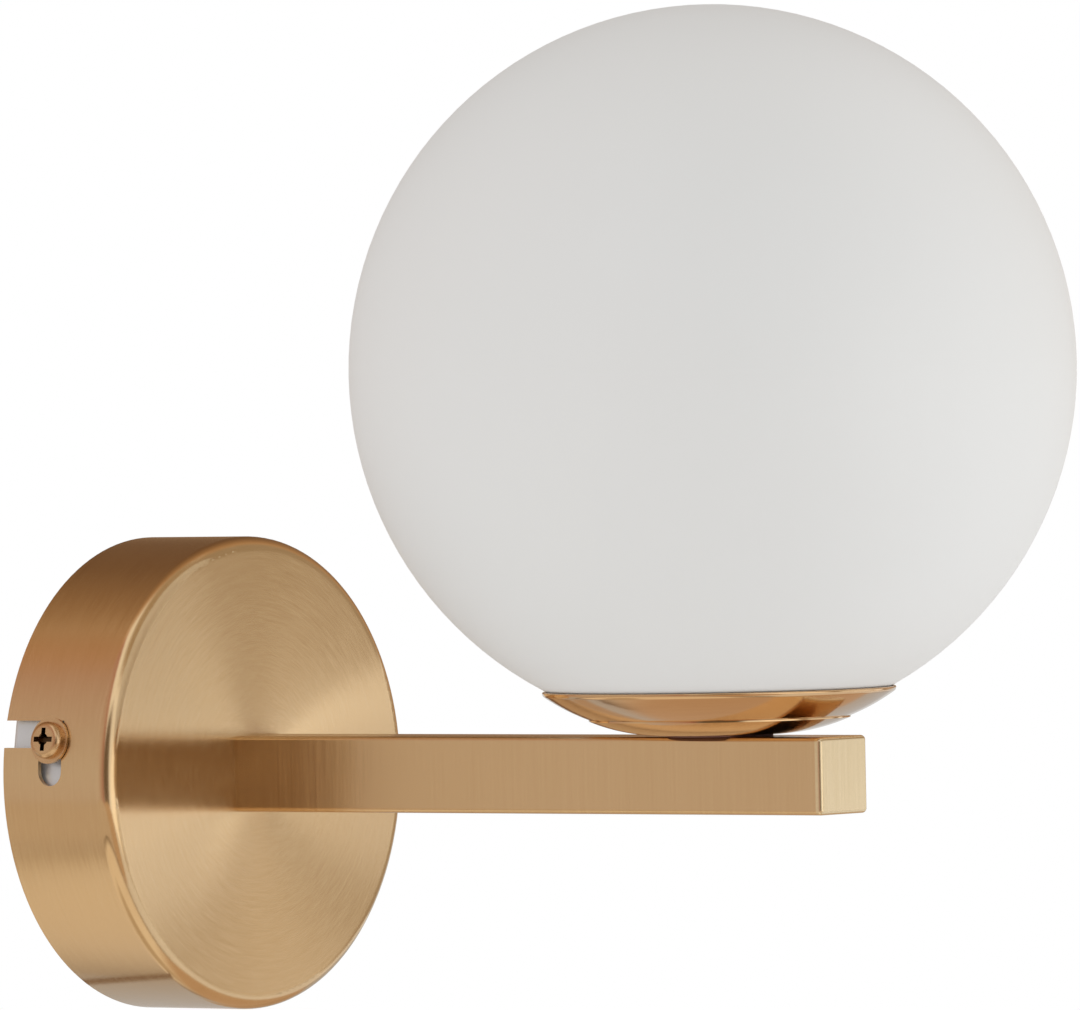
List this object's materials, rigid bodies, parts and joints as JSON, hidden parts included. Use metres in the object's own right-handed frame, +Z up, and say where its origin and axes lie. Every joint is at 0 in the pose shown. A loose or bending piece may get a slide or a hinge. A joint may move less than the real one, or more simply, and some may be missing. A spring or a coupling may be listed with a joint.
{
  "type": "globe wall sconce",
  "caption": "Wall light: round brass canopy, square brass arm straight out from it, and an opal glass globe standing on a shallow stepped dish near the arm's end.",
  "frame": {"origin": "centre of the wall bracket's screw holes on the wall plane, on the canopy's axis", "axes": "+Y into the wall, the arm runs along -Y; +Z up, towards the globe; +X to the right seen from the room"},
  "size_m": [0.15, 0.226, 0.2087],
  "materials": {
    "brushed_brass": "satin brushed, lacquered",
    "turned_brass": "finely turned, lacquered",
    "plated_screw": "brass-plated, bright",
    "raw_brass": "machined",
    "zinc_steel": "zinc-plated",
    "spring_steel": "rolled strip",
    "opal_glass": "acid-etched, matt",
    "silicone": "matt, translucent white",
    "dark_fibre": "matt",
    "nylon": "satin",
    "ceramic": "glazed, opaque",
    "brown_lead": "satin",
    "blue_lead": "satin",
    "earth_lead": "satin, green with a yellow stripe",
    "bulb_plastic": "satin",
    "bulb_cover": "milky clear",
    "led_core": "phosphor"
  },
  "bodies": {
    "bracket": {"wall_bracket": "zinc_steel", "canopy_screw_left": "plated_screw", "canopy_screw_right": "plated_screw", "earth_screw": "zinc_steel", "earth_washer": "zinc_steel"},
    "lamp": {"canopy": "brushed_brass", "terminal_strap": "zinc_steel", "earth_tag": "zinc_steel", "canopy_washer": "zinc_steel", "canopy_nut": "zinc_steel", "canopy_nipple": "zinc_steel", "terminal_block": "nylon", "terminal_tubes": "raw_brass", "terminal_screws": "zinc_steel", "terminal_block_screw": "zinc_steel", "arm_tube": "brushed_brass", "arm_end_cap": "brushed_brass", "arm_base_block": "raw_brass", "arm_boss": "raw_brass", "dish_spacer": "dark_fibre", "lower_dish": "turned_brass", "upper_dish": "turned_brass", "clip_plate": "zinc_steel", "glass_clip_1": "spring_steel", "glass_clip_2": "spring_steel", "glass_clip_3": "spring_steel", "clip_rivets": "zinc_steel", "globe_gasket": "silicone", "dish_washer": "zinc_steel", "dish_nut": "zinc_steel", "holder_nipple": "zinc_steel", "holder_bracket": "zinc_steel", "holder_washer": "zinc_steel", "holder_nut": "zinc_steel", "lamp_holder": "ceramic", "holder_contacts": "raw_brass", "holder_screws": "zinc_steel", "live_lead": "brown_lead", "neutral_lead": "blue_lead", "earth_lead": "earth_lead"},
    "globe": {"glass_globe": "opal_glass"},
    "bulb": {"bulb_base": "bulb_plastic", "bulb_pins": "zinc_steel", "bulb_cover": "bulb_cover", "led_core": "led_core"}
  },
  "joints": [
    {"name": "canopy_twist", "type": "hinge", "parent": "bracket", "child": "lamp", "pos_m": [0, 0, 0], "axis": [0, 1, 0], "range_deg": [-1.5, 7.5]},
    {"name": "globe_lift", "type": "slide", "parent": "lamp", "child": "globe", "axis": [0, 0, 1], "range_m": [0, 0.095]},
    {"name": "bulb_pull", "type": "slide", "parent": "lamp", "child": "bulb", "axis": [0, 0, 1], "range_m": [0, 0.02]}
  ]
}
